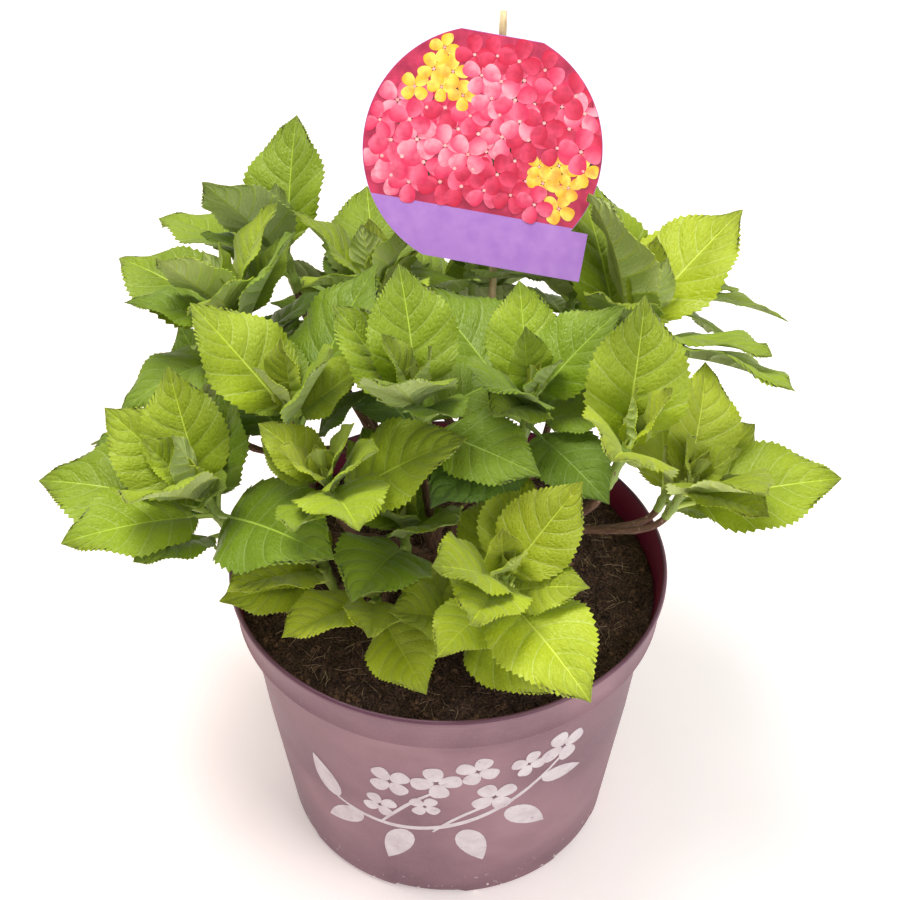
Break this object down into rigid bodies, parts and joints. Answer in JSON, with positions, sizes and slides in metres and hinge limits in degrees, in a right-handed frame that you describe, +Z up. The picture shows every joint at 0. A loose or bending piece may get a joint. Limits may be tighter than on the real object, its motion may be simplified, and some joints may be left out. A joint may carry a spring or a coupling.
{
  "type": "potted hydrangea shrub",
  "caption": "Leafy young hydrangea shrub without blooms in a round plastic nursery pot of compost, with a round picture card on a thin stick.",
  "frame": {"origin": "centre of the pot's flat underside", "axes": "+Z up along the pot's axis, picture card facing -Y"},
  "size_m": [0.3983, 0.3837, 0.4238],
  "materials": {
    "pot_plastic": "dusty plum injection-moulded plastic",
    "compost": "dark fibrous potting compost",
    "woody_stem": "thin brown bark, greener towards the tips",
    "leaf": "serrated green leaves, satin above and paler below",
    "card": null,
    "stick_wood": "pale split bamboo"
  },
  "bodies": {
    "root": {"card_stick": "stick_wood", "compost": "compost", "leaves_back": "leaf", "leaves_back_left": "leaf", "leaves_back_left_low": "leaf", "leaves_back_right": "leaf", "leaves_back_right_low": "leaf", "leaves_centre_right": "leaf", "leaves_far_back": "leaf", "leaves_far_right": "leaf", "leaves_front_left": "leaf", "leaves_front_left_low": "leaf", "leaves_front_low": "leaf", "leaves_front_right": "leaf", "leaves_left": "leaf", "leaves_left_back_low": "leaf", "leaves_left_front_low": "leaf", "leaves_left_middle": "leaf", "leaves_left_upper": "leaf", "leaves_middle": "leaf", "leaves_middle_back": "leaf", "leaves_middle_low": "leaf", "leaves_right": "leaf", "leaves_right_front": "leaf", "leaves_right_low": "leaf", "limb_back": "woody_stem", "limb_back_left": "woody_stem", "limb_back_left_low": "woody_stem", "limb_back_right": "woody_stem", "limb_back_right_low": "woody_stem", "limb_centre_right": "woody_stem", "limb_far_back": "woody_stem", "limb_far_right": "woody_stem", "limb_front_left": "woody_stem", "limb_front_left_low": "woody_stem", "limb_front_low": "woody_stem", "limb_front_right": "woody_stem", "limb_left": "woody_stem", "limb_left_back_low": "woody_stem", "limb_left_front_low": "woody_stem", "limb_left_middle": "woody_stem", "limb_left_upper": "woody_stem", "limb_middle": "woody_stem", "limb_middle_back": "woody_stem", "limb_middle_low": "woody_stem", "limb_right": "woody_stem", "limb_right_front": "woody_stem", "limb_right_low": "woody_stem", "picture_card": "card", "pot": "pot_plastic", "root_crown": "woody_stem"}
  },
  "joints": []
}
